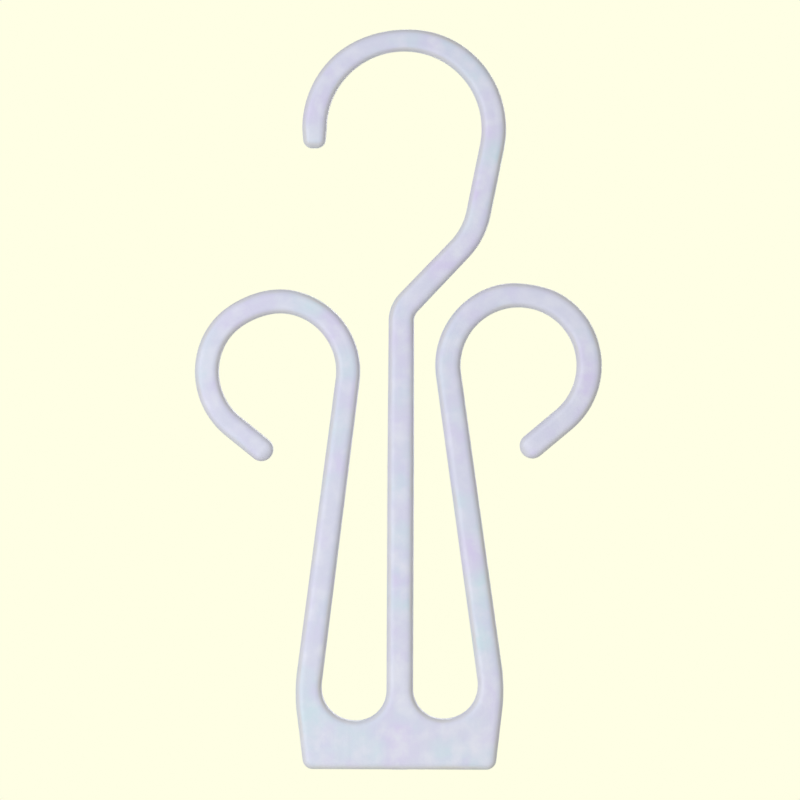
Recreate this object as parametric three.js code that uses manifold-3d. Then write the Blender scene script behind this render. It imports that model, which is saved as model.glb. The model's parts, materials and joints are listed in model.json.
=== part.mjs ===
// Slipper hanger: one springy plastic moulding. It hangs from a shop rail by its top hook and
// carries one slipper of a pair on each side hook.
//
// Units are millimetres. X runs to the viewer's right, Y away from the viewer and Z up.
// The origin is the crown of the rail hook, on the inside, where the hanger sits on its rail.
//
// The moulding is flat, so every limb is drawn in plan (x to the right, y up from the foot),
// extruded with rounded edges and stood upright at the end.
import * as THREE from "three";
import { mergeVertices } from "three/addons/utils/BufferGeometryUtils.js";
import Module from "manifold-3d";

const wasm = await Module();
wasm.setup();

// Section of the moulding
const DEPTH = 5.0;
const EDGE_INSET = 1.6; // width of the rounded edge, seen from the front
const EDGE_DROP = 2.0; // depth of the rounded edge, seen from the side
const STEM_WIDTH = 5.6;
const RAIL_HOOK_WIDTH = 5.25;
const ARM_WIDTH = 5.4;

// Foot: a tapered bar that joins the three limbs
const FOOT_WIDTH = 39.8; // along the bottom edge
const FOOT_HEIGHT = 10.5; // from the bottom edge to the floor of each slot
const FOOT_CORNER = 0.5; // corner radius left on the flat face, inside the rounded edge
const SHOULDER_HEIGHT = 15.4; // the ends lean out up to here, and turn into the arms
const SHOULDER_RADIUS = 30;
const SLOT_RADIUS = 6.2; // round the floor of each slot
const STUB_RISE = 9.5; // the foot carries short stubs of the limbs, this far above the slots' floor

// Stem, and the neck that swings the rail hook over it
const STEM_HEIGHT = 92.2; // from the bottom edge to the first bend
const NECK_LEAN = THREE.MathUtils.degToRad(43.5);
const NECK_LOWER_RADIUS = 5.5;
const NECK_LENGTH = 15.1;
const NECK_UPPER_TURN = THREE.MathUtils.degToRad(32.2);
const NECK_UPPER_RADIUS = 15;
const NECK_UPRIGHT = 13.7;

// Rail hook
const RAIL_HOOK_RADIUS = 18.4; // to the middle of the bar
const RAIL_HOOK_TURN = THREE.MathUtils.degToRad(191.5);
const RAIL_HOOK_TAIL = 4.1;
const RAIL_TIP_CORNER = 0.3; // corner radius left on the flat face, inside the rounded edge

// Arms and their slipper hooks. The two sides differ a little.
const ARM_SPREAD = 18.4; // from the stem's axis to each arm's, at the top of the stubs
const SLIPPER_HOOK_RADIUS = 14.5; // to the middle of the bar
const FLEX_GAP = 0.3; // each arm bends at its root, across this clearance
const LEFT = {
  lean: THREE.MathUtils.degToRad(7.1), // inwards, going up
  drop: 12.5, // from the stem's bend down to the start of the hook
  turn: THREE.MathUtils.degToRad(239.2),
  tail: 10.3,
};
const RIGHT = {
  lean: THREE.MathUtils.degToRad(8.1),
  drop: 11.3,
  turn: THREE.MathUtils.degToRad(236.5),
  tail: 11.6,
};

// Look of the plastic
const COLOUR = 0xd9dbe9;
const ROUGHNESS = 0.42;

// Fineness of the facets
const ARC_STEP = THREE.MathUtils.degToRad(6);
const EDGE_STEPS = 4;
const TOLERANCE = 1e-6;

// A limb is drawn this far past each cut, so that the cut leaves a square end
const OVERRUN = 2 * EDGE_INSET;
const CUTTER_MARGIN = 1;

const QUARTER = Math.PI / 2;
const UPWARDS = QUARTER;
const STUB_HEIGHT = FOOT_HEIGHT + STUB_RISE;

const along = (angle, length) =>
  new THREE.Vector2(Math.cos(angle), Math.sin(angle)).multiplyScalar(length);

const moved = (point, angle, length) => point.clone().add(along(angle, length));

// Follows a bend table, as for bent wire. Each move is a straight length or a turn at a radius.
// Left turns are positive.
function bentLine(start, heading, moves) {
  const curves = [];
  let at = start.clone();
  let angle = heading;
  for (const move of moves) {
    if (move.straight) {
      const next = moved(at, angle, move.straight);
      curves.push(new THREE.LineCurve(at, next));
      at = next;
    } else {
      const side = Math.sign(move.turn);
      const centre = moved(at, angle + side * QUARTER, move.radius);
      const from = angle - side * QUARTER;
      const to = from + move.turn;
      curves.push(new THREE.ArcCurve(centre.x, centre.y, move.radius, from, to, side < 0));
      at = moved(centre, to, move.radius);
      angle += move.turn;
    }
  }
  return { curves, start, startHeading: heading, end: at, heading: angle };
}

function stepsOf(curve) {
  if (curve.isLineCurve) return 1;
  return Math.ceil(curve.getLength() / curve.xRadius / ARC_STEP);
}

// Points along a bent line, each with its heading and its share of the length.
function stations(line) {
  const total = line.curves.reduce((sum, curve) => sum + curve.getLength(), 0);
  const found = [{ point: line.start, heading: line.startHeading, share: 0 }];
  let before = 0;
  for (const curve of line.curves) {
    const steps = stepsOf(curve);
    for (let i = 1; i <= steps; i += 1) {
      const t = i / steps;
      const share = (before + t * curve.getLength()) / total;
      found.push({ point: curve.getPoint(t), heading: curve.getTangent(t).angle(), share });
    }
    before += curve.getLength();
  }
  return found;
}

function arcPoints(centre, radius, from, to) {
  const steps = Math.max(1, Math.ceil(Math.abs(to - from) / ARC_STEP));
  return Array.from({ length: steps + 1 }, (_, i) =>
    moved(centre, from + ((to - from) * i) / steps, radius),
  );
}

// The end of a bar, from its right side round to its left, with its two corners rounded.
function tipPoints(end, heading, width, radius) {
  const corner = (side) =>
    moved(moved(end, heading, -radius), heading + side * QUARTER, width / 2 - radius);
  return [
    ...arcPoints(corner(-1), radius, heading - QUARTER, heading),
    ...arcPoints(corner(1), radius, heading, heading + QUARTER),
  ];
}

// Plan outline of a bar: up its right side, round its end and back down its left side.
// An end with no tip radius is a cut, so the bar runs on past it.
function barOutline(line, startWidth, endWidth, tipRadius) {
  const places = stations(line);
  const right = [];
  const left = [];
  const sides = ({ point, heading, share }) => {
    const half = THREE.MathUtils.lerp(startWidth, endWidth, share) / 2;
    right.push(moved(point, heading - QUARTER, half));
    left.unshift(moved(point, heading + QUARTER, half));
  };
  const first = places[0];
  const last = places.pop();
  sides({ ...first, point: moved(first.point, first.heading, -OVERRUN) });
  places.forEach(sides);
  if (tipRadius) {
    return [...right, ...tipPoints(last.point, last.heading, endWidth, tipRadius), ...left];
  }
  sides(last);
  sides({ ...last, point: moved(last.point, last.heading, OVERRUN) });
  return [...right, ...left];
}

// Plan outline of a polygon whose corners are rounded, each at its own radius.
function roundedOutline(corners) {
  return corners.flatMap(({ at, radius }, i) => {
    if (!radius) return [at];
    const toLast = corners.at(i - 1).at.clone().sub(at).normalize();
    const toNext = corners[(i + 1) % corners.length].at.clone().sub(at).normalize();
    const half = Math.acos(toLast.dot(toNext)) / 2;
    const inward = toLast.clone().add(toNext).angle();
    const centre = moved(at, inward, radius / Math.sin(half));
    const side = Math.sign(toNext.cross(toLast));
    const sweep = side * (QUARTER - half);
    return arcPoints(centre, radius, inward + Math.PI - sweep, inward + Math.PI + sweep);
  });
}

// Leaves out the points that repeat, or that lie on a straight stretch between their neighbours.
function turningPoints(outline) {
  const distinct = outline.filter((p, i) => p.distanceTo(outline.at(i - 1)) > TOLERANCE);
  return distinct.filter((p, i) => {
    const before = p.clone().sub(distinct.at(i - 1)).normalize();
    const after = distinct[(i + 1) % distinct.length].clone().sub(p).normalize();
    return Math.abs(before.cross(after)) > TOLERANCE;
  });
}

// Extrudes a plan outline to the moulding's depth, with rounded edges front and back.
function mouldedGeometry(outline) {
  const flat = DEPTH - 2 * EDGE_DROP;
  const geometry = new THREE.ExtrudeGeometry(new THREE.Shape(turningPoints(outline)), {
    depth: flat,
    bevelSize: EDGE_INSET,
    bevelOffset: -EDGE_INSET,
    bevelThickness: EDGE_DROP,
    bevelSegments: EDGE_STEPS,
  });
  return geometry.translate(0, 0, -flat / 2);
}

function solidOf(geometry) {
  const bare = geometry.clone().deleteAttribute("normal").deleteAttribute("uv");
  const merged = mergeVertices(bare, 1e-4);
  return new wasm.Manifold(
    new wasm.Mesh({
      numProp: 3,
      vertProperties: merged.attributes.position.array,
      triVerts: new Uint32Array(merged.index.array),
    }),
  );
}

function geometryOf(solid) {
  const mesh = solid.getMesh();
  const geometry = new THREE.BufferGeometry();
  geometry.setAttribute("position", new THREE.BufferAttribute(mesh.vertProperties, 3));
  geometry.setIndex(new THREE.BufferAttribute(mesh.triVerts, 1));
  geometry.computeVertexNormals();
  return geometry;
}

// A block that removes what lies past a cut. The cut is square to the heading, at a point of
// a bar's middle line, and the block is no wider than it needs to be to clear the bar.
function cutter({ point, heading, width }) {
  const length = OVERRUN + CUTTER_MARGIN;
  const block = new THREE.BoxGeometry(length, width + 2 * CUTTER_MARGIN, DEPTH + 2 * CUTTER_MARGIN);
  block.translate(length / 2, 0, 0).rotateZ(heading).translate(point.x, point.y, 0);
  return solidOf(block);
}

function mouldedMesh(name, outline, cuts) {
  let solid = solidOf(mouldedGeometry(outline));
  for (const cut of cuts) {
    solid = solid.subtract(cutter(cut));
  }
  const material = new THREE.MeshStandardMaterial({
    color: COLOUR,
    roughness: ROUGHNESS,
    metalness: 0,
  });
  const mesh = new THREE.Mesh(geometryOf(solid), material);
  mesh.name = name;
  return mesh;
}

function barMesh(name, line, startWidth, endWidth, tipRadius) {
  const cuts = [{ point: line.start, heading: line.startHeading + Math.PI, width: startWidth }];
  if (!tipRadius) {
    cuts.push({ point: line.end, heading: line.heading, width: endWidth });
  }
  return mouldedMesh(name, barOutline(line, startWidth, endWidth, tipRadius), cuts);
}

// Where two straight edges meet, each given by a point and a heading.
function crossing(pointA, headingA, pointB, headingB) {
  const a = along(headingA, 1);
  const b = along(headingB, 1);
  const reach = pointB.clone().sub(pointA).cross(b) / a.cross(b);
  return pointA.clone().addScaledVector(a, reach);
}

// One side of the foot, as corners from the bottom edge up to the stem. side is -1 for the
// left and 1 for the right.
function footSide(side, { lean }) {
  const inwards = UPWARDS + side * lean;
  const root = new THREE.Vector2(side * ARM_SPREAD, STUB_HEIGHT);
  const outer = moved(root, inwards - side * QUARTER, ARM_WIDTH / 2);
  const inner = moved(root, inwards + side * QUARTER, ARM_WIDTH / 2);
  const stemEdge = (side * STEM_WIDTH) / 2;
  const bottom = new THREE.Vector2((side * FOOT_WIDTH) / 2, 0);
  const shoulder = crossing(new THREE.Vector2(0, SHOULDER_HEIGHT), 0, outer, inwards);
  const shoulderTurn = Math.abs(inwards - shoulder.clone().sub(bottom).angle());
  const shoulderRun = (STUB_HEIGHT - SHOULDER_HEIGHT) / Math.cos(lean);
  const shoulderRadius = Math.min(SHOULDER_RADIUS, shoulderRun / Math.tan(shoulderTurn / 2));
  const floorAtStem = new THREE.Vector2(stemEdge, FOOT_HEIGHT);
  const floorAtArm = crossing(floorAtStem, 0, inner, inwards);
  const fullRound = floorAtStem.distanceTo(floorAtArm) / (1 + 1 / Math.tan((QUARTER - lean) / 2));
  const slotRadius = Math.min(SLOT_RADIUS, fullRound);
  return [
    { at: bottom, radius: EDGE_INSET + FOOT_CORNER },
    { at: shoulder, radius: shoulderRadius },
    { at: moved(outer, inwards, OVERRUN) },
    { at: moved(inner, inwards, OVERRUN) },
    { at: floorAtArm, radius: slotRadius },
    { at: floorAtStem, radius: slotRadius },
    { at: new THREE.Vector2(stemEdge, STUB_HEIGHT + OVERRUN) },
  ];
}

function footMesh() {
  const corners = [...footSide(1, RIGHT), ...footSide(-1, LEFT).reverse()];
  const armCut = (side, { lean }) => ({
    point: new THREE.Vector2(side * ARM_SPREAD, STUB_HEIGHT),
    heading: UPWARDS + side * lean,
    width: ARM_WIDTH,
  });
  const stemCut = { point: new THREE.Vector2(0, STUB_HEIGHT), heading: UPWARDS, width: STEM_WIDTH };
  const cuts = [armCut(1, RIGHT), armCut(-1, LEFT), stemCut];
  return mouldedMesh("foot_plate", roundedOutline(corners), cuts);
}

// The stem, the neck and the rail hook, each starting where the last one ends.
function centreMeshes() {
  const stem = bentLine(new THREE.Vector2(0, STUB_HEIGHT), UPWARDS, [
    { straight: STEM_HEIGHT - STUB_HEIGHT },
  ]);
  const neck = bentLine(stem.end, stem.heading, [
    { turn: -NECK_LEAN, radius: NECK_LOWER_RADIUS },
    { straight: NECK_LENGTH },
    { turn: NECK_UPPER_TURN, radius: NECK_UPPER_RADIUS },
    { straight: NECK_UPRIGHT },
  ]);
  const hook = bentLine(neck.end, neck.heading, [
    { turn: RAIL_HOOK_TURN, radius: RAIL_HOOK_RADIUS },
    { straight: RAIL_HOOK_TAIL },
  ]);
  const hookCentre = moved(hook.start, hook.startHeading + QUARTER, RAIL_HOOK_RADIUS);
  const crown = moved(hookCentre, UPWARDS, RAIL_HOOK_RADIUS - RAIL_HOOK_WIDTH / 2);
  const meshes = [
    barMesh("stem", stem, STEM_WIDTH, STEM_WIDTH),
    barMesh("hook_neck", neck, STEM_WIDTH, RAIL_HOOK_WIDTH),
    barMesh("rail_hook", hook, RAIL_HOOK_WIDTH, RAIL_HOOK_WIDTH, EDGE_INSET + RAIL_TIP_CORNER),
  ];
  return { meshes, crown };
}

// One arm and its slipper hook. The arm stands clear of its stub by the flexing gap.
function sideMeshes(name, side, { lean, drop, turn, tail }) {
  const inwards = UPWARDS + side * lean;
  const root = new THREE.Vector2(side * ARM_SPREAD, STUB_HEIGHT);
  const rise = (STEM_HEIGHT - drop - STUB_HEIGHT) / Math.cos(lean);
  const arm = bentLine(moved(root, inwards, FLEX_GAP), inwards, [{ straight: rise - FLEX_GAP }]);
  const hook = bentLine(arm.end, arm.heading, [
    { turn: -side * turn, radius: SLIPPER_HOOK_RADIUS },
    { straight: tail },
  ]);
  return [
    barMesh(`${name}_arm`, arm, ARM_WIDTH, ARM_WIDTH),
    barMesh(`${name}_slipper_hook`, hook, ARM_WIDTH, ARM_WIDTH, ARM_WIDTH / 2),
  ];
}

const centre = centreMeshes();

// The plan, moved so that the crown of the rail hook is at its origin
const plan = new THREE.Group();
plan.add(footMesh(), ...centre.meshes);
plan.add(...sideMeshes("left", -1, LEFT), ...sideMeshes("right", 1, RIGHT));
plan.position.set(-centre.crown.x, -centre.crown.y, 0);

// The plan stood upright, with its front towards the viewer
const hanger = new THREE.Group();
hanger.name = "slipper_hanger";
hanger.rotation.x = QUARTER;
hanger.add(plan);

export default hanger;
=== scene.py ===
import json
from math import asin, atan2, ceil, copysign, cos, exp, pi, radians, sin, tan

import bmesh
import bpy
from bpy.props import FloatProperty, FloatVectorProperty, PointerProperty
from mathutils import Matrix, Vector
from mathutils.geometry import intersect_line_line
from mathutils.kdtree import KDTree


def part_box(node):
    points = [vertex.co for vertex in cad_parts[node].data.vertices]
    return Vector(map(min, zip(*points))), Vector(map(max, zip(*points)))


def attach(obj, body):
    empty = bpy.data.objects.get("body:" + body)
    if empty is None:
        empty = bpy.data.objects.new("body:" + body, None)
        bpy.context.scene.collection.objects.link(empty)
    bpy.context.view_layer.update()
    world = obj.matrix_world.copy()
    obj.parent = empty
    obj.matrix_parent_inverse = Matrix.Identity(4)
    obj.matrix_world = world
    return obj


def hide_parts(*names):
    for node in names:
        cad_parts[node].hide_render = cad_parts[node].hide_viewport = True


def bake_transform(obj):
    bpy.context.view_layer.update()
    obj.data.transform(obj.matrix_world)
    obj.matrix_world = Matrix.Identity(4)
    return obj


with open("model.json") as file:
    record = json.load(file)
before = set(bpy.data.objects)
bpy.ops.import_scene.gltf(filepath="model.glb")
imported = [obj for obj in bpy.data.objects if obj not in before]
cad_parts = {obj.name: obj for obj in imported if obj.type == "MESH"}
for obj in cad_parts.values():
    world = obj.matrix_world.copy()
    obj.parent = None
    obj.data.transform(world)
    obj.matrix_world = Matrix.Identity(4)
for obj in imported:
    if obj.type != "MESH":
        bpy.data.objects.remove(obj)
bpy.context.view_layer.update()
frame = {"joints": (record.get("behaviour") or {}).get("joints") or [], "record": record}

bl_info = {
    "name": "Slipper hanger",
    "version": (1, 0, 0),
    "blender": (4, 5, 0),
    "location": "View3D > Sidebar > Hanger",
    "description": "Models a moulded plastic slipper hanger round its packed model",
    "category": "Object",
}

MM = 0.001
QUARTER = pi / 2
UP = QUARTER
TOLERANCE = 0.001 * MM

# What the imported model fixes
STEM_LOW, STEM_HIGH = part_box("stem")
HOOK_LOW, HOOK_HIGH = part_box("rail_hook")
LOOP_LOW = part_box("left_slipper_hook")[0]
STEM_FOOT = Vector(((STEM_LOW.x + STEM_HIGH.x) / 2, 0, STEM_LOW.z))
FOOT_MIDDLE = Vector((STEM_FOOT.x, 0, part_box("foot_plate")[0].z))
ARM_ROOTS = {joint["child"]: Vector(joint["pos_m"]) for joint in frame["joints"]}
MOUNTS = {mount["name"]: Vector(mount["pos_m"]) for mount in frame["record"]["mounts"]}
PACKED_ARM_WIDTH = 5.4 * MM

# Name of the middle piece, and the side that each arm stands on
CENTRE = "centre_moulding"
SIDES = {"left": -1, "right": 1}

# Fineness of the facets
ARC_STEP = radians(3)
EDGE_SEGMENTS = 8
FILLET_STEP = 0.4 * MM
TIP_STEPS = 12
TIP_END = radians(86)
PIN_SIDES = 48
SMOOTH_ANGLE = radians(30)

# Narrow bands that keep flat faces flat beside rounded ones
FACE_SUPPORT = 0.1 * MM
SEAM_SUPPORT = 0.3 * MM

# What tells the foot's flat faces and its underside from the rest of the mesh
SQUARE_TO_DEPTH = 0.999
FACING_DOWN = -0.8
LEAST_FACE = 50 * MM * MM

# Where the bars are uneven. A stretch of a hook is its middle and its spread, as shares of the bend
STEM_EVEN_SHARE = 0.6
RAIL_HOOK_THIN_STRETCH = (0.575, 0.15)
SLIPPER_HOOK_THIN_STRETCH = (0.45, 0.07)
SLIPPER_HOOK_SUNK_STRETCH = (0.51, 0.1)

# Places of the ejector pins, as shares of each bar's stations, and of the foot's width
CENTRE_PINS = (0.04, 0.3, 0.7)
SIDE_PINS = (0.1, 0.55)
FOOT_PIN_SHARE = 1 / 3

# Finish of the plastic: how fine its marks are, how they lie and how strongly they show
FLOW_LINES = {"Across": 900, "Along": 45}
GRAIN_SCALE = 4200
DRIFT_TO_GRAIN = 0.08
RUB_SCALE = 2600
RUB_SLANTS = (radians(28), radians(-57))
RUB_STRETCH = (0.02, 0.05, 1.0)
STREAK_STRENGTH = 0.12
RUB_STRENGTH = 0.14
ROUGHNESS = 0.41
ROUGHNESS_DRIFT = 0.1
RUB_ROUGHNESS = 0.15
FLOW_RELIEF = 0.6
RELIEF = 0.02 * MM
PLASTIC_IOR = 1.49

# How squarely the skin faces the front or the back where the painted rim shade starts, and where it
# is full
RIM_SHADE_FROM_FACE = (1.0, 0.8)
RIM_SHADE_FROM_SIDE = (0.1, 0.6)

# Lamps, each with its azimuth and elevation in degrees and its power in watts
LAMPS = {"key": (-26, -2, 2.56), "back": (163, 16, 1.7)}
LAMP_TARGET = Vector((0, 0, -75 * MM))
LAMP_DISTANCE = 620 * MM
LAMP_SIZE = 500 * MM
FILL_FROM_BELOW = 0.7
FILL_FROM_ABOVE = 1.0

# Floor, below the hanging foot
FLOOR_DROP = 32 * MM
FLOOR_RADIUS = 120 * MM
FLOOR_SIDES = 96
FLOOR_ROUGHNESS = 0.8
FLOOR_MOTTLE = 0.1
FLOOR_GLOW = 0.35

# Camera, the width of its view where the hanger hangs, and how far it sees
CAMERA_SPOT = Vector((-0.59 * MM, -1400 * MM, -71.4 * MM))
CAMERA_ROLL = radians(0.245)
FIELD = 164.16 * MM
FARTHEST = 10


def length(name, description, default):
    """A length that a user may change, in metres."""
    return FloatProperty(name=name, description=description, default=default, unit="LENGTH")


def angle(name, description, degrees):
    """An angle that a user may change."""
    return FloatProperty(
        name=name, description=description, default=radians(degrees), unit="ROTATION"
    )


def colour(name, description, default):
    """A colour that a user may change."""
    return FloatVectorProperty(
        name=name, description=description, default=default, subtype="COLOR", min=0, max=1
    )


class HangerSizes(bpy.types.PropertyGroup):
    """Sizes of the moulding's limbs"""

    depth: length("Depth", "From the front face to the back face", STEM_HIGH.y - STEM_LOW.y)
    edge_round: length("Edge rounding", "Width of the rounded edges, front and back", 1.8 * MM)
    edge_fullness: FloatProperty(
        name="Edge fullness",
        description="Shape of the rounded edges: a half is a plain round, more is squarer",
        default=0.59,
        subtype="FACTOR",
    )
    stem_width: length("Stem width", "Width of the upright bar at its foot", 5.35 * MM)
    stem_top_width: length("Stem top width", "Width of the upright bar at its top", 5.1 * MM)
    stem_height: length("Stem height", "From the stub to the first bend", 72 * MM)
    foot_width: length("Foot width", "Along the bottom edge", 39.2 * MM)
    foot_corner: length("Foot corner", "Radius of the two bottom corners", 2.0 * MM)
    shoulder_height: length("Shoulder height", "Where the foot's ends turn to the arms", 15.4 * MM)
    shoulder_radius: length("Shoulder radius", "Radius of that turn", 30 * MM)
    left_inset: length("Left inset", "How far the left turn lies inside its arm", 0.05 * MM)
    right_inset: length("Right inset", "How far the right turn lies inside its arm", 0.35 * MM)
    left_floor: length("Left floor", "From the bottom edge to the left slot's floor", 9.95 * MM)
    right_floor: length("Right floor", "From the bottom edge to the right slot's floor", 10.4 * MM)
    slot_arm_radius: length("Slot radius at the arm", "Between floor and arm", 7.1 * MM)
    slot_stem_radius: length("Slot radius at the stem", "Between floor and stem", 6.2 * MM)
    neck_lean: angle("Neck lean", "Turn from the stem into the neck", 43.5)
    neck_lower_radius: length("Neck lower radius", "Radius of that turn", 5.5 * MM)
    neck_length: length("Neck length", "Straight length between the neck's bends", 15.1 * MM)
    neck_upper_turn: angle("Neck upper turn", "Turn of the neck's upper bend", 32.2)
    neck_upper_radius: length("Neck upper radius", "Radius of that turn", 15 * MM)
    neck_upright: length("Neck upright", "Straight length below the rail hook", 13.9 * MM)
    rail_hook_width: length("Rail hook width", "Width of the rail hook's bar", 4.95 * MM)
    rail_hook_radius: length(
        "Rail hook radius",
        "Radius of the rail hook, to the middle of its bar",
        (HOOK_HIGH.x - HOOK_LOW.x - HOOK_HIGH.z) / 2,
    )
    rail_hook_turn: angle("Rail hook turn", "How far the rail hook curls round", 191.5)
    rail_hook_tail: length("Rail hook tail", "Straight length after the curl, with tip", 4.0 * MM)
    rail_tip_width: length("Rail hook tip width", "Width of the bar at its blunt tip", 4.6 * MM)
    rail_tip_corner: length("Rail hook tip", "Radius of the blunt tip's corners", 1.9 * MM)
    rail_hook_thinning: length("Rail hook thinning", "What it loses at its crown", 0.55 * MM)
    arm_width: length("Arm width", "Width of the side arms at their roots", 5.25 * MM)
    left_hook_width: length("Left hook width", "Width of the left hook's bar", 4.85 * MM)
    right_hook_width: length("Right hook width", "Width of the right hook's bar", 5.1 * MM)
    slipper_hook_radius: length(
        "Slipper hook radius",
        "Radius of the side hooks, to the middle of their bars",
        MOUNTS["left_strap_loop"].x - LOOP_LOW.x - PACKED_ARM_WIDTH / 2,
    )
    left_thinning: length("Left thinning", "What the left hook loses at its crown", 0)
    left_sinking: length("Left sinking", "How far the left hook's crown sinks", 0.35 * MM)
    left_turn: angle("Left turn", "How far the left hook curls round", 238.4)
    left_tail: length("Left tail", "Straight length after the left curl, with tip", 9.9 * MM)
    right_thinning: length("Right thinning", "What the right hook loses at its crown", 0.3 * MM)
    right_sinking: length("Right sinking", "How far the right hook's crown sinks", 0)
    right_turn: angle("Right turn", "How far the right hook curls round", 238)
    right_tail: length("Right tail", "Straight length after the right curl, with tip", 11 * MM)


class MouldMarks(bpy.types.PropertyGroup):
    """Marks that the mould leaves on the plastic"""

    parting_height: length("Parting line height", "How far the line is raised", 0.05 * MM)
    parting_width: length("Parting line width", "Width of the line on the sides", 0.3 * MM)
    pin_radius: length("Pin radius", "Radius of the ejector pins' marks on the back", 1.2 * MM)
    pin_depth: length("Pin depth", "Depth of the ejector pins' marks", 0.15 * MM)
    gate_width: length("Gate width", "Width of the scar where the plastic flowed in", 3.2 * MM)
    gate_height: length("Gate height", "How far that scar stands out", 0.06 * MM)


class HangerLook(bpy.types.PropertyGroup):
    """Colours of the plastic and the stage"""

    plastic: colour("Plastic", "Pale lavender white of the moulding", (0.665, 0.675, 0.86))
    cool_plastic: colour("Cool plastic", "Where the pigment is bluer", (0.595, 0.74, 0.85))
    warm_plastic: colour("Warm plastic", "Where the pigment is stronger", (0.67, 0.615, 0.88))
    pale_plastic: colour("Pale plastic", "Where the pigment is thinner", (0.74, 0.75, 0.90))
    # A greyer colour painted on the rounded rims as shade
    painted_rim_shade_colour: colour("Rim shade colour", "Greyer rims, painted shade", (0.675, 0.67, 0.74))
    streak: colour("Streak", "Pale lines where the plastic flowed", (0.76, 0.78, 0.90))
    backdrop: colour("Backdrop", "Pale cream behind the hanger", (1.0, 1.0, 0.783))
    fill: colour("Fill light", "Warm light from all round", (0.48, 0.48, 0.43))
    lamplight: colour("Lamp light", "Slightly cool light of both lamps", (0.96, 0.97, 1.0))
    floor: colour("Floor", "Pale cream floor under the hanger", (0.86, 0.86, 0.68))


def along(heading, distance):
    """A move in the plane of the hanger. Headings turn left from the viewer's right."""
    return Vector((cos(heading), 0, sin(heading))) * distance


def upwards(distance):
    """A move straight up."""
    return along(UP, distance)


def rightwards(distance):
    """A move to the viewer's right."""
    return along(0, distance)


def crossing(point_a, heading_a, point_b, heading_b):
    """Where two straight edges meet, each given by a point and a heading."""
    end_a = point_a + along(heading_a, 1)
    end_b = point_b + along(heading_b, 1)
    return intersect_line_line(point_a, end_a, point_b, end_b)[0]


def select_only(piece):
    """Makes one piece the active one, in object mode, and selects nothing else."""
    bpy.ops.object.select_all(action="DESELECT")
    piece.select_set(True)
    bpy.context.view_layer.objects.active = piece


def edit(piece):
    """Opens one piece in edit mode."""
    select_only(piece)
    bpy.ops.object.mode_set(mode="EDIT")


def pick(kind, wanted):
    """Selects the vertices, edges or faces that pass a test, and nothing else."""
    bpy.ops.mesh.select_mode(type=kind)
    bpy.ops.mesh.select_all(action="DESELECT")
    mesh = bpy.context.edit_object.data
    form = bmesh.from_edit_mesh(mesh)
    found = 0
    for element in {"VERT": form.verts, "EDGE": form.edges, "FACE": form.faces}[kind]:
        if wanted(element):
            element.select_set(True)
            found += 1
    form.select_flush_mode()
    bmesh.update_edit_mesh(mesh)
    if not found:
        raise RuntimeError(f"{bpy.context.edit_object.name} has no such {kind.lower()}")


def extrude(move):
    """Extrudes what is selected."""
    bpy.ops.mesh.extrude_region_move(TRANSFORM_OT_translate={"value": move})


class Seam:
    """A square cut across a bar, where one limb turns into the next."""

    def __init__(self, at, heading, width):
        self.at = at
        self.heading = heading
        self.width = width

    def side(self, way):
        """The middle of the bar's left side where way is 1, or of its right side where it is -1."""
        return self.at + along(self.heading + way * QUARTER, self.width / 2)

    def holds(self, element):
        """Whether a vertex, or every vertex of an edge or a face, lies on the cut."""
        verts = [element] if isinstance(element, bmesh.types.BMVert) else element.verts
        for vert in verts:
            away = Vector((vert.co.x, 0, vert.co.z)) - self.at
            if abs(away.dot(along(self.heading, 1))) > TOLERANCE or away.length > self.width:
                return False
        return True


def parting_levels(line_width):
    """Depths of the parting line's two borders and of its crest."""
    return -line_width / 2, 0, line_width / 2


def no_change(share):
    """What a bend with an even bar changes on the way."""
    return 0


def swell(height, middle, spread):
    """A change that comes and goes softly round one share of a bend."""
    return lambda share: height * exp(-(((share - middle) / spread) ** 2))


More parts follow.
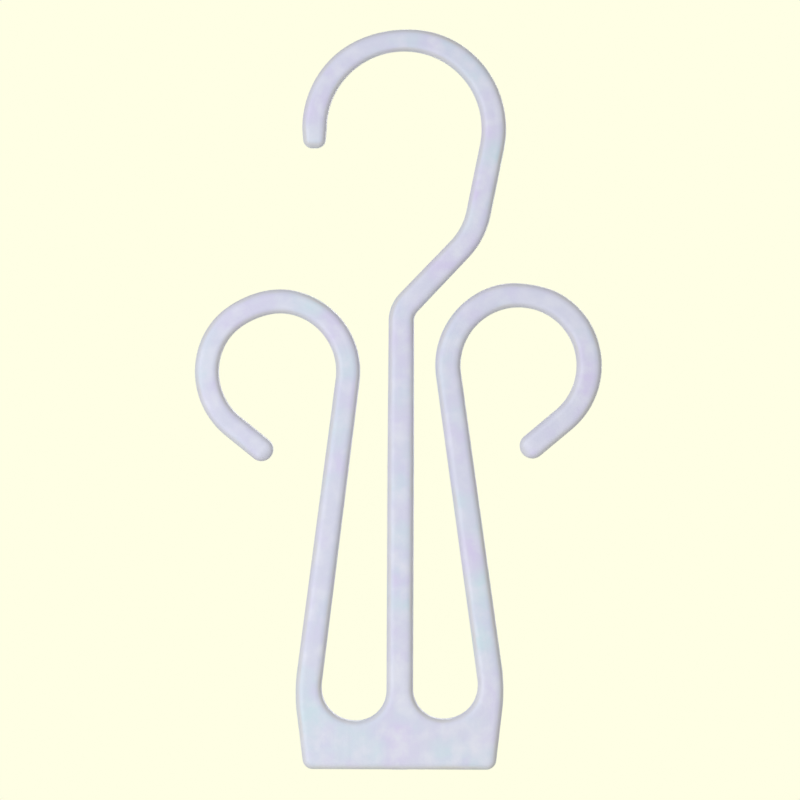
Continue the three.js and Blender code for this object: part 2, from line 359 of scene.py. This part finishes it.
class Bar:
    """The selected end face of a piece, drawn out into a bar of straights and bends."""

    def __init__(self, seam):
        self.at = seam.at.copy()
        self.heading = seam.heading
        self.width = seam.width
        self.travelled = (seam.at - FOOT_MIDDLE).z
        self.stations = []
        self.note(0)

    def note(self, step):
        """Keeps the place, the heading and the distance reached."""
        self.travelled += step
        self.stations.append((self.at.copy(), self.heading, self.travelled))

    def set_width(self, width, fixed_point):
        """Widens or narrows the end face from a fixed point, and leaves its depth."""
        share = width / self.width
        bpy.ops.transform.resize(value=(share, 1, share), center_override=fixed_point)
        self.width = width

    def straight(self, distance, steps=1, end_width=None):
        """A straight length, which may change the bar's width on the way."""
        step = along(self.heading, distance / steps)
        start_width = self.width
        for count in range(1, steps + 1):
            extrude(step)
            self.at += step
            if end_width:
                self.set_width(start_width + (end_width - start_width) * count / steps, self.at)
            self.note(step.length)

    def bend(self, turn, radius, thinning=no_change, sinking=no_change):
        """A bend, to the left where the turn is positive.

        On the way its outside may be thinned, and the whole bar may sink towards the inside.
        """
        side = copysign(1, turn)
        steps = ceil(abs(turn) / ARC_STEP)
        centre = self.at + along(self.heading + side * QUARTER, radius)
        full_width = self.width
        sunk = 0
        for count in range(1, steps + 1):
            share = count / steps
            bpy.ops.mesh.spin(
                steps=1, angle=abs(turn) / steps, center=centre, axis=(0, side, 0)
            )
            self.heading += turn / steps
            outwards = self.heading - side * QUARTER
            bpy.ops.transform.translate(value=along(outwards, sunk - sinking(share)))
            sunk = sinking(share)
            self.at = centre + along(outwards, radius - sunk)
            self.set_width(full_width - thinning(share), self.at - along(outwards, full_width / 2))
            self.note(radius * abs(turn) / steps)

    def tip(self, corner, depth, drop, line_width):
        """A closed end, with rounded corners and a dropping edge, that the parting line crosses."""

        def half_sizes(turn):
            lost = 1 - cos(turn)
            return self.width / 2 - corner * lost, depth / 2 - drop * lost

        turns = [TIP_END * count / TIP_STEPS for count in range(TIP_STEPS + 1)]
        for last, turn in zip(turns, turns[1:]):
            step = along(self.heading, corner * (sin(turn) - sin(last)))
            extrude(step)
            self.at += step
            wide, deep = (new / old for new, old in zip(half_sizes(turn), half_sizes(last)))
            bpy.ops.transform.resize(value=(wide, deep, wide), center_override=self.at)
        self.note(corner)
        end = Seam(self.at, self.heading, self.width)
        scale = half_sizes(TIP_END)[1] / half_sizes(0)[1]
        for level in parting_levels(line_width * scale):
            pick("VERT", lambda vert: end.holds(vert) and abs(vert.co.y - level) < TOLERANCE)
            bpy.ops.mesh.vert_connect()

    def spot(self, share):
        """A point of the bar's middle line, at a share of its stations."""
        return self.stations[round(share * (len(self.stations) - 1))][0]


def arm_line(name, sizes):
    """Seam and straight length of an arm, which runs from its root to touch its hook's circle."""
    root = ARM_ROOTS[f"{name}_side"]
    to_loop = MOUNTS[f"{name}_strap_loop"] - root
    aside = asin(sizes.slipper_hook_radius / to_loop.length)
    heading = atan2(to_loop.z, to_loop.x) + SIDES[name] * aside
    return Seam(root, heading, sizes.arm_width), to_loop.length * cos(aside)


def draw_outline(name, corners):
    """Draws a flat face round its corners, each a point and the radius that it is rounded to."""
    points = [point for point, radius in corners]
    bpy.ops.object.select_all(action="DESELECT")
    bpy.ops.mesh.primitive_plane_add(size=MM, location=points[0])
    piece = bpy.context.object
    piece.name = name
    piece.data.name = name
    bpy.ops.object.transform_apply(location=True)
    edit(piece)
    bpy.ops.mesh.select_all(action="SELECT")
    bpy.ops.mesh.merge(type="CENTER")
    for start, end in zip(points, points[1:]):
        extrude(end - start)
    bpy.ops.mesh.select_all(action="SELECT")
    bpy.ops.mesh.edge_face_add()
    for place, (point, radius) in enumerate(corners):
        if radius:
            before = points[place - 1] - point
            after = points[(place + 1) % len(points)] - point
            opening = before.angle(after)
            run = radius / tan(opening / 2)
            steps = ceil(radius * (pi - opening) / FILLET_STEP)
            pick("VERT", lambda vert: (vert.co - point).length < TOLERANCE)
            bpy.ops.mesh.bevel(affect="VERTICES", offset=run, segments=steps, clamp_overlap=False)
    return piece


def thicken(depth, line_width):
    """Gives a flat face its depth, with edge loops for the parting line half way."""
    bpy.ops.mesh.select_all(action="SELECT")
    levels = [-depth / 2, *parting_levels(line_width), depth / 2]
    for start, end in zip(levels, levels[1:]):
        extrude((0, end - start, 0))
    bpy.ops.mesh.select_all(action="SELECT")
    bpy.ops.mesh.normals_make_consistent(inside=False)


def round_edges(sizes, seams):
    """Rounds the edges of the front and back faces, and leaves each seam one flat face."""
    face = sizes.depth / 2

    def on_rim(edge):
        flat = all(abs(abs(vert.co.y) - face) < TOLERANCE for vert in edge.verts)
        return flat and not any(seam.holds(edge) for seam in seams)

    def front_or_back(part):
        return abs(part.normal.y) > SQUARE_TO_DEPTH and part.calc_area() > LEAST_FACE

    pick("EDGE", on_rim)
    bpy.ops.mesh.bevel(
        offset=sizes.edge_round,
        segments=EDGE_SEGMENTS,
        profile=sizes.edge_fullness,
        clamp_overlap=False,
    )
    for seam in seams:
        pick("FACE", seam.holds)
        bpy.ops.mesh.dissolve_faces()
    pick("FACE", front_or_back)
    bpy.ops.mesh.inset(thickness=FACE_SUPPORT)


def raise_parting_line(height, seams):
    """Raises the fine line round the sides, where the mould's halves met, and up to each seam."""

    def on_line(vert):
        return abs(vert.co.y) < TOLERANCE

    pick("VERT", lambda vert: on_line(vert) and not any(seam.holds(vert) for seam in seams))
    bpy.ops.transform.shrink_fatten(value=height)
    for seam in seams:
        for way in SIDES.values():
            side = seam.side(way)
            pick("VERT", lambda vert: on_line(vert) and (vert.co - side).length < TOLERANCE)
            bpy.ops.transform.translate(value=along(seam.heading + way * QUARTER, height))


def scar_gate(sizes, marks):
    """Leaves the broken stub of the plastic's way in, on the bottom edge."""
    land = sizes.depth / 2 - sizes.edge_round + TOLERANCE
    lowest = FOOT_MIDDLE.z + TOLERANCE
    half_width = marks.gate_width / 2

    def underneath(part):
        middle = part.calc_center_median()
        return part.normal.z < FACING_DOWN and abs(middle.y) < land and middle.z < lowest

    def under_gate(part):
        return underneath(part) and abs((part.calc_center_median() - FOOT_MIDDLE).x) < half_width

    for side in SIDES.values():
        pick("FACE", underneath)
        cut = FOOT_MIDDLE + rightwards(side * half_width)
        bpy.ops.mesh.bisect(plane_co=cut, plane_no=rightwards(1))
    pick("FACE", under_gate)
    extrude(upwards(-marks.gate_height))
    end = FOOT_MIDDLE + upwards(-marks.gate_height)
    bpy.ops.transform.resize(value=(1, 1, 0), center_override=end)


def press_pins(piece, spots, depth, marks):
    """Presses round marks into the back of a piece, where pins pushed it out of the mould."""
    reach = 2 * marks.pin_radius
    into = Vector((0, depth / 2 - marks.pin_depth + reach / 2, 0))
    bpy.ops.object.mode_set(mode="OBJECT")
    pins = []
    for spot in spots:
        bpy.ops.mesh.primitive_cylinder_add(
            vertices=PIN_SIDES,
            radius=marks.pin_radius,
            depth=reach,
            location=spot + into,
            rotation=(QUARTER, 0, 0),
        )
        pins.append(bpy.context.object)
    bpy.ops.object.select_all(action="DESELECT")
    for pin in pins:
        pin.select_set(True)
    bpy.ops.object.join()
    cutter = bpy.context.object
    select_only(piece)
    bpy.ops.object.modifier_add(type="BOOLEAN")
    press = piece.modifiers[-1]
    press.object = cutter
    press.operation = "DIFFERENCE"
    bpy.ops.object.modifier_apply(modifier=press.name)
    bpy.data.objects.remove(cutter)


def lay_flow(piece, bar):
    """Notes on each vertex how the plastic flowed there: metres across, in depth and along."""
    tree = KDTree(len(bar.stations))
    for place, station in enumerate(bar.stations):
        tree.insert(station[0], place)
    tree.balance()
    start = bar.stations[0][0]
    flow = piece.data.attributes.new("flow", "FLOAT_VECTOR", "POINT")
    for vert in piece.data.vertices:
        nearest = tree.find((vert.co.x, 0, vert.co.z))[1]
        at, heading, travelled = bar.stations[nearest]
        away = vert.co - at
        across = start.x - FOOT_MIDDLE.x + away.dot(along(heading - QUARTER, 1))
        flow.data[vert.index].vector = (across, vert.co.y, travelled + away.dot(along(heading, 1)))


def finish_piece(piece, bar, material):
    """Tidies a modelled piece, and gives it its shading, its flow and its material."""
    edit(piece)
    bpy.ops.mesh.select_all(action="SELECT")
    bpy.ops.mesh.remove_doubles(threshold=TOLERANCE)
    bpy.ops.mesh.normals_make_consistent(inside=False)
    bpy.ops.object.mode_set(mode="OBJECT")
    bpy.ops.object.shade_smooth_by_angle(angle=SMOOTH_ANGLE, keep_sharp_edges=False)
    lay_flow(piece, bar)
    piece.data.materials.clear()
    piece.data.materials.append(material)


def foot_side(sizes, name, seam):
    """Corners of one side of the foot, from the bottom edge up to the arm and back to the stem."""
    side = SIDES[name]
    outer = seam.side(-side)
    inner = seam.side(side)
    below_seam = along(seam.heading, -SEAM_SUPPORT)
    shoulder_level = FOOT_MIDDLE + upwards(sizes.shoulder_height)
    shoulder = crossing(shoulder_level, 0, outer, seam.heading)
    stem_edge = STEM_FOOT + rightwards(side * sizes.stem_width / 2)
    inset = getattr(sizes, f"{name}_inset")
    floor_height = getattr(sizes, f"{name}_floor")
    floor_at_stem = Vector((stem_edge.x, 0, FOOT_MIDDLE.z + floor_height))
    corners = [
        (FOOT_MIDDLE + rightwards(side * sizes.foot_width / 2), sizes.foot_corner),
        (shoulder - rightwards(side * inset), sizes.shoulder_radius),
        (outer + below_seam, None),
        (outer, None),
        (inner, None),
        (inner + below_seam, None),
        (crossing(floor_at_stem, 0, inner, seam.heading), sizes.slot_arm_radius),
        (floor_at_stem, sizes.slot_stem_radius),
        (stem_edge, None),
    ]
    front = Vector((0, -sizes.depth / 2, 0))
    return [(point + front, radius) for point, radius in corners]


def link_or_set(tree, socket, source):
    """Feeds an input from another node's socket, or with a plain value."""
    if isinstance(source, bpy.types.NodeSocket):
        tree.links.new(source, socket)
    else:
        socket.default_value = source


def add_node(tree, kind, sources=None, **options):
    """Adds a node with its options, and feeds its inputs by name or by place."""
    node = tree.nodes.new(kind)
    for name, value in options.items():
        setattr(node, name, value)
    for name, source in (sources or {}).items():
        link_or_set(tree, node.inputs[name], source)
    return node


def mixed_colour(tree, share, first, second):
    """Mixes two colours by a share, and gives the socket of the result."""
    # A mix node holds its sockets for numbers and vectors first, and those for colours after them
    sources = {0: share, 6: first, 7: second}
    return add_node(tree, "ShaderNodeMix", sources, data_type="RGBA").outputs[2]


def worked_out(tree, operation, *terms):
    """One step of arithmetic on sockets and numbers, and the socket of its result."""
    sources = dict(enumerate(terms))
    return add_node(tree, "ShaderNodeMath", sources, operation=operation).outputs[0]


def vector_step(tree, operation, first, second):
    """One step of vector arithmetic, and the socket of its result."""
    sources = {0: first, 1: second}
    return add_node(tree, "ShaderNodeVectorMath", sources, operation=operation).outputs[0]


def noise(tree, vector, scale, detail=2.0, low=0.0, high=1.0):
    """Soft noise, spread out so that low becomes 0 and high becomes 1."""
    sources = {"Vector": vector, "Scale": scale, "Detail": detail}
    texture = add_node(tree, "ShaderNodeTexNoise", sources)
    spread = {"Value": texture.outputs["Fac"], "From Min": low, "From Max": high}
    return add_node(tree, "ShaderNodeMapRange", spread).outputs["Result"]


def start_group(name, inputs, outputs):
    """Starts a shader node group, and gives its tree and its inner sockets."""
    tree = bpy.data.node_groups.new(name, "ShaderNodeTree")
    for label, kind in inputs.items():
        tree.interface.new_socket(label, in_out="INPUT", socket_type=f"NodeSocket{kind}")
    for label, kind in outputs.items():
        tree.interface.new_socket(label, in_out="OUTPUT", socket_type=f"NodeSocket{kind}")
    entry = add_node(tree, "NodeGroupInput")
    result = add_node(tree, "NodeGroupOutput")
    return tree, entry.outputs, result.inputs


def pigment_drift():
    """Plastic whose pigment drifts to other tints in soft clouds, each of its own size."""
    # The scale of each tint's clouds, and a move that keeps them apart from the others
    clouds = {"Cool": (80, 0.0), "Warm": (110, 0.31), "Pale": (240, 0.57)}
    inputs = {"Vector": "Vector", "Colour": "Color", **dict.fromkeys(clouds, "Color")}
    tree, entry, result = start_group("Pigment drift", inputs, {"Colour": "Color"})
    tint = entry["Colour"]
    for label, (scale, apart) in clouds.items():
        place = vector_step(tree, "ADD", entry["Vector"], (apart, apart, apart))
        share = noise(tree, place, scale, detail=3, low=0.44, high=0.72)
        tint = mixed_colour(tree, share, tint, entry[label])
    tree.links.new(tint, result["Colour"])
    return tree


def flow_lines():
    """Fine lines that run along a limb, as the plastic flowed into it."""
    tree, entry, result = start_group(
        "Flow lines", {"Flow": "Vector", "Across": "Float", "Along": "Float"}, {"Mask": "Float"}
    )
    sources = {"X": entry["Across"], "Y": entry["Across"], "Z": entry["Along"]}
    scale = add_node(tree, "ShaderNodeCombineXYZ", sources).outputs[0]
    lines = vector_step(tree, "MULTIPLY", entry["Flow"], scale)
    tree.links.new(noise(tree, lines, scale=1, low=0.46, high=0.72), result["Mask"])
    return tree


def painted_rim_shade():
    """Painted shade on the rounded edges, in patches, found from how far the skin turns to the
    side.
    """
    tree, entry, result = start_group(
        "Edge wear", {"Normal": "Vector", "Vector": "Vector"}, {"Mask": "Float"}
    )
    facing = add_node(tree, "ShaderNodeSeparateXYZ", {"Vector": entry["Normal"]}).outputs["Y"]
    facing = worked_out(tree, "ABSOLUTE", facing)
    rim_shade = noise(tree, entry["Vector"], scale=160, low=0.2, high=0.7)
    for shade_starts, full in (RIM_SHADE_FROM_FACE, RIM_SHADE_FROM_SIDE):
        sources = {"Value": facing, "From Min": shade_starts, "From Max": full}
        near = add_node(tree, "ShaderNodeMapRange", sources, interpolation_type="SMOOTHSTEP")
        rim_shade = worked_out(tree, "MULTIPLY", rim_shade, near.outputs["Result"])
    tree.links.new(rim_shade, result["Mask"])
    return tree


def fine_grain():
    """The fine unevenness of a moulded skin, as a height and as a drift of its gloss."""
    tree, entry, result = start_group(
        "Fine grain", {"Vector": "Vector", "Scale": "Float"}, {"Height": "Float", "Drift": "Float"}
    )
    coarse = worked_out(tree, "MULTIPLY", entry["Scale"], DRIFT_TO_GRAIN)
    tree.links.new(noise(tree, entry["Vector"], entry["Scale"], detail=3), result["Height"])
    tree.links.new(noise(tree, entry["Vector"], coarse, low=0.35, high=0.65), result["Drift"])
    return tree


def rub_marks():
    """Sparse hairline rub marks at two slants, in patches."""
    tree, entry, result = start_group(
        "Rub marks", {"Vector": "Vector", "Scale": "Float"}, {"Mask": "Float"}
    )
    masks = []
    for slant in RUB_SLANTS:
        sources = {"Vector": entry["Vector"], "Angle": slant}
        turned = add_node(tree, "ShaderNodeVectorRotate", sources, rotation_type="Y_AXIS")
        lines = vector_step(tree, "MULTIPLY", turned.outputs[0], RUB_STRETCH)
        masks.append(noise(tree, lines, entry["Scale"], detail=1, low=0.66, high=0.72))
    patches = noise(tree, entry["Vector"], scale=70, low=0.5, high=0.62)
    either = worked_out(tree, "MAXIMUM", *masks)
    tree.links.new(worked_out(tree, "MULTIPLY", either, patches), result["Mask"])
    return tree


def moulded_plastic(look):
    """Satin plastic with drifting pigment, flow lines, painted shade greying the rims, fine grain
    and rub marks.
    """
    material = bpy.data.materials.new("moulded_plastic")
    material.use_nodes = True
    tree = material.node_tree
    shader = tree.nodes["Principled BSDF"]
    spot = add_node(tree, "ShaderNodeTexCoord").outputs
    place = spot["Object"]
    flow = add_node(tree, "ShaderNodeAttribute", attribute_name="flow").outputs["Vector"]

    def grouped(group, sources):
        node = add_node(tree, "ShaderNodeGroup", node_tree=group)
        for label, source in sources.items():
            link_or_set(tree, node.inputs[label], source)
        return node.outputs

    tints = {
        "Vector": place,
        "Colour": (*look.plastic, 1),
        "Cool": (*look.cool_plastic, 1),
        "Warm": (*look.warm_plastic, 1),
        "Pale": (*look.pale_plastic, 1),
    }
    pigment = grouped(pigment_drift(), tints)["Colour"]
    lines = grouped(flow_lines(), {"Flow": flow, **FLOW_LINES})["Mask"]
    # Mask of the painted shade on the rims, where the skin turns from the front to the side
    rim_shade = grouped(painted_rim_shade(), {"Normal": spot["Normal"], "Vector": place})["Mask"]
    grain = grouped(fine_grain(), {"Vector": place, "Scale": GRAIN_SCALE})
    rubs = grouped(rub_marks(), {"Vector": place, "Scale": RUB_SCALE})["Mask"]

    pale = worked_out(tree, "MULTIPLY", lines, STREAK_STRENGTH)
    streaked = mixed_colour(tree, pale, pigment, (*look.streak, 1))
    # Greys the rims with painted shade
    rim_shaded = mixed_colour(tree, rim_shade, streaked, (*look.painted_rim_shade_colour, 1))
    rubbed = worked_out(tree, "MULTIPLY", rubs, RUB_STRENGTH)
    tint = mixed_colour(tree, rubbed, rim_shaded, (*look.streak, 1))
    tree.links.new(tint, shader.inputs["Base Color"])
    dull = worked_out(tree, "MULTIPLY_ADD", grain["Drift"], ROUGHNESS_DRIFT, ROUGHNESS)
    duller = worked_out(tree, "MULTIPLY_ADD", rubs, RUB_ROUGHNESS, dull)
    tree.links.new(duller, shader.inputs["Roughness"])
    height = worked_out(tree, "MULTIPLY_ADD", lines, FLOW_RELIEF, grain["Height"])
    bump = add_node(tree, "ShaderNodeBump", {"Distance": RELIEF, "Height": height})
    tree.links.new(bump.outputs["Normal"], shader.inputs["Normal"])
    shader.inputs["IOR"].default_value = PLASTIC_IOR
    return material


class HANGER_OT_centre(bpy.types.Operator):
    """Models the foot, the stem, the neck and the rail hook"""

    bl_idname = "hanger.centre"
    bl_label = "Foot, stem and rail hook"

    def execute(self, context):
        sizes = context.scene.hanger_sizes
        marks = context.scene.hanger_marks
        left, right = [arm_line(name, sizes)[0] for name in SIDES]
        stem_seam = Seam(STEM_FOOT, UP, sizes.stem_width)

        corners = foot_side(sizes, "right", right) + foot_side(sizes, "left", left)[::-1]
        piece = draw_outline(CENTRE, corners)
        thicken(sizes.depth, marks.parting_width)
        round_edges(sizes, [left, right, stem_seam])
        raise_parting_line(marks.parting_height, [left, right, stem_seam])

        pick("FACE", stem_seam.holds)
        bar = Bar(stem_seam)
        even_height = sizes.stem_height * STEM_EVEN_SHARE
        bar.straight(even_height, steps=5)
        bar.straight(sizes.stem_height - even_height, steps=5, end_width=sizes.stem_top_width)
        bar.bend(-sizes.neck_lean, sizes.neck_lower_radius)
        bar.straight(sizes.neck_length, steps=5, end_width=sizes.rail_hook_width)
        bar.bend(sizes.neck_upper_turn, sizes.neck_upper_radius)
        bar.straight(sizes.neck_upright, steps=3)
        bar.bend(
            sizes.rail_hook_turn,
            sizes.rail_hook_radius,
            thinning=swell(sizes.rail_hook_thinning, *RAIL_HOOK_THIN_STRETCH),
        )
        tip_run = sizes.rail_hook_tail - sizes.rail_tip_corner
        bar.straight(tip_run, steps=2, end_width=sizes.rail_tip_width)
        bar.tip(sizes.rail_tip_corner, sizes.depth, sizes.edge_round, marks.parting_width)
        scar_gate(sizes, marks)
        foot_centre = FOOT_MIDDLE + upwards(sizes.right_floor / 2)
        aside = rightwards(sizes.foot_width * FOOT_PIN_SHARE)
        spots = [foot_centre + side * aside for side in SIDES.values()]
        spots += [bar.spot(share) for share in CENTRE_PINS]
        press_pins(piece, spots, sizes.depth, marks)

        finish_piece(piece, bar, moulded_plastic(context.scene.hanger_look))
        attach(piece, "frame")
        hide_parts("foot_plate", "stem", "hook_neck", "rail_hook")
        return {"FINISHED"}


class HANGER_OT_sides(bpy.types.Operator):
    """Models the two springy arms with their slipper hooks"""

    bl_idname = "hanger.sides"
    bl_label = "Arms and slipper hooks"

    def execute(self, context):
        for name in SIDES:
            self.model(context.scene, name)
        return {"FINISHED"}

    def model(self, scene, name):
        """Draws one arm out of the foot's stub, as a piece of its own."""
        sizes = scene.hanger_sizes
        marks = scene.hanger_marks
        seam, reach = arm_line(name, sizes)
        piece = self.copy_stub(name, seam)
        edit(piece)
        pick("FACE", seam.holds)
        bar = Bar(seam)
        bar.straight(SEAM_SUPPORT)
        hook_width = getattr(sizes, f"{name}_hook_width")
        bar.straight(reach - SEAM_SUPPORT, steps=20, end_width=hook_width)
        bar.bend(
            -SIDES[name] * getattr(sizes, f"{name}_turn"),
            sizes.slipper_hook_radius,
            thinning=swell(getattr(sizes, f"{name}_thinning"), *SLIPPER_HOOK_THIN_STRETCH),
            sinking=swell(getattr(sizes, f"{name}_sinking"), *SLIPPER_HOOK_SUNK_STRETCH),
        )
        bar.straight(getattr(sizes, f"{name}_tail") - bar.width / 2, steps=2)
        bar.tip(bar.width / 2, sizes.depth, sizes.edge_round, marks.parting_width)
        press_pins(piece, [bar.spot(share) for share in SIDE_PINS], sizes.depth, marks)

        finish_piece(piece, bar, bpy.data.materials["moulded_plastic"])
        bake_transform(piece)
        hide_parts(f"{name}_arm", f"{name}_slipper_hook")

    def copy_stub(self, name, seam):
        """Copies the end face of the foot's stub into a piece with no properties of its own yet."""
        centre = bpy.data.objects[CENTRE]
        edit(centre)
        pick("FACE", seam.holds)
        bpy.ops.mesh.duplicate()
        bpy.ops.mesh.separate(type="SELECTED")
        bpy.ops.object.mode_set(mode="OBJECT")
        piece = next(item for item in bpy.context.selected_objects if item is not centre)
        piece.name = f"{name}_moulding"
        piece.data.name = piece.name
        piece.parent = None
        for key in list(piece.keys()):
            del piece[key]
        piece.data.attributes.remove(piece.data.attributes["flow"])
        return piece


class HANGER_OT_stage(bpy.types.Operator):
    """Sets the floor, the soft light and the camera"""

    bl_idname = "hanger.stage"
    bl_label = "Stage"

    def execute(self, context):
        scene = context.scene
        look = scene.hanger_look
        scene.view_settings.view_transform = "Standard"
        self.light_world(scene, look)
        self.lay_floor(look)
        for name, (azimuth, elevation, power) in LAMPS.items():
            self.add_lamp(name, azimuth, elevation, power, look.lamplight)
        self.add_camera(scene)
        return {"FINISHED"}

    def light_world(self, scene, look):
        """A pale backdrop for the camera and for gloss, and a fill that is weaker from below."""
        world = bpy.data.worlds.new("studio")
        scene.world = world
        world.use_nodes = True
        tree = world.node_tree
        tree.nodes.clear()
        rays = add_node(tree, "ShaderNodeLightPath").outputs
        looked_at = worked_out(tree, "MAXIMUM", rays["Is Camera Ray"], rays["Is Glossy Ray"])
        seen = add_node(tree, "ShaderNodeBackground", {"Color": (*look.backdrop, 1)})
        way = add_node(tree, "ShaderNodeTexCoord").outputs["Generated"]
        height = add_node(tree, "ShaderNodeSeparateXYZ", {"Vector": way}).outputs["Z"]
        spread = {
            "Value": height,
            "From Min": -1,
            "From Max": 1,
            "To Min": FILL_FROM_BELOW,
            "To Max": FILL_FROM_ABOVE,
        }
        strength = add_node(tree, "ShaderNodeMapRange", spread).outputs["Result"]
        fill = add_node(
            tree, "ShaderNodeBackground", {"Color": (*look.fill, 1), "Strength": strength}
        )
        sources = {0: looked_at, 1: fill.outputs[0], 2: seen.outputs[0]}
        mix = add_node(tree, "ShaderNodeMixShader", sources)
        add_node(tree, "ShaderNodeOutputWorld", {"Surface": mix.outputs[0]})

    def lay_floor(self, look):
        """A round pale floor, seen from above only, that fades at its rim."""
        level = FOOT_MIDDLE + upwards(-FLOOR_DROP)
        bpy.ops.mesh.primitive_circle_add(
            vertices=FLOOR_SIDES, radius=FLOOR_RADIUS, fill_type="NGON", location=level
        )
        floor = bpy.context.object
        floor.name = "floor"
        material = bpy.data.materials.new("pale_floor")
        material.use_nodes = True
        tree = material.node_tree
        shader = tree.nodes["Principled BSDF"]
        place = add_node(tree, "ShaderNodeTexCoord").outputs["Object"]
        away = add_node(tree, "ShaderNodeVectorMath", {0: place}, operation="LENGTH")
        fade = {
            "Value": away.outputs["Value"],
            "From Min": FLOOR_RADIUS,
            "From Max": FLOOR_RADIUS / 2,
        }
        seen = add_node(tree, "ShaderNodeMapRange", fade, interpolation_type="SMOOTHSTEP")
        below = add_node(tree, "ShaderNodeNewGeometry").outputs["Backfacing"]
        shown = worked_out(tree, "SUBTRACT", seen.outputs["Result"], below)
        tree.links.new(shown, shader.inputs["Alpha"])
        mottle = noise(tree, place, scale=60, detail=4)
        dull = worked_out(tree, "MULTIPLY_ADD", mottle, FLOOR_MOTTLE, FLOOR_ROUGHNESS)
        tree.links.new(dull, shader.inputs["Roughness"])
        shader.inputs["Base Color"].default_value = (*look.floor, 1)
        looked_at = add_node(tree, "ShaderNodeLightPath").outputs["Is Camera Ray"]
        glow = mixed_colour(tree, looked_at, (0, 0, 0, 1), (*look.floor, 1))
        tree.links.new(glow, shader.inputs["Emission Color"])
        shader.inputs["Emission Strength"].default_value = FLOOR_GLOW
        floor.data.materials.append(material)

    def add_lamp(self, name, azimuth, elevation, power, tint):
        """A soft square lamp aimed at the hanger. Azimuth 0 is in front, and turns to the right."""
        level = Matrix.Rotation(radians(azimuth), 4, "Z")
        tilt = Matrix.Rotation(radians(-elevation), 4, "X")
        away = level @ tilt @ Vector((0, -LAMP_DISTANCE, 0))
        bpy.ops.object.light_add(type="AREA", location=LAMP_TARGET + away)
        lamp = bpy.context.object
        lamp.name = name
        lamp.rotation_euler = (-away).to_track_quat("-Z", "Y").to_euler()
        lamp.data.size = LAMP_SIZE
        lamp.data.energy = power
        lamp.data.color = tint

    def add_camera(self, scene):
        """A long lens straight in front, rolled as the photograph is."""
        bpy.ops.object.camera_add(location=CAMERA_SPOT)
        camera = bpy.context.object
        aim = Matrix.Rotation(QUARTER, 4, "X") @ Matrix.Rotation(CAMERA_ROLL, 4, "Z")
        camera.rotation_euler = aim.to_euler()
        camera.data.lens = camera.data.sensor_width * abs(CAMERA_SPOT.y) / FIELD
        camera.data.clip_end = FARTHEST
        scene.camera = camera


class HANGER_PT_panel(bpy.types.Panel):
    """Lists the pieces of the hanger and its stage"""

    bl_label = "Slipper hanger"
    bl_idname = "HANGER_PT_panel"
    bl_space_type = "VIEW_3D"
    bl_region_type = "UI"
    bl_category = "Hanger"

    def draw(self, context):
        for operator in OPERATORS:
            self.layout.operator(operator.bl_idname)


OPERATORS = (HANGER_OT_centre, HANGER_OT_sides, HANGER_OT_stage)
GROUPS = {"hanger_sizes": HangerSizes, "hanger_marks": MouldMarks, "hanger_look": HangerLook}


def register():
    """Registers the sizes and looks, the operators and the panel."""
    for group in GROUPS.values():
        bpy.utils.register_class(group)
    for name, group in GROUPS.items():
        setattr(bpy.types.Scene, name, PointerProperty(type=group))
    for operator in OPERATORS:
        bpy.utils.register_class(operator)
    bpy.utils.register_class(HANGER_PT_panel)


def unregister():
    """Takes away what register added."""
    bpy.utils.unregister_class(HANGER_PT_panel)
    for operator in reversed(OPERATORS):
        bpy.utils.unregister_class(operator)
    for name, group in GROUPS.items():
        delattr(bpy.types.Scene, name)
        bpy.utils.unregister_class(group)


def main():
    """Models the hanger and its stage."""
    register()
    bpy.ops.hanger.centre()
    bpy.ops.hanger.sides()
    bpy.ops.hanger.stage()


if __name__ == "__main__":
    main()
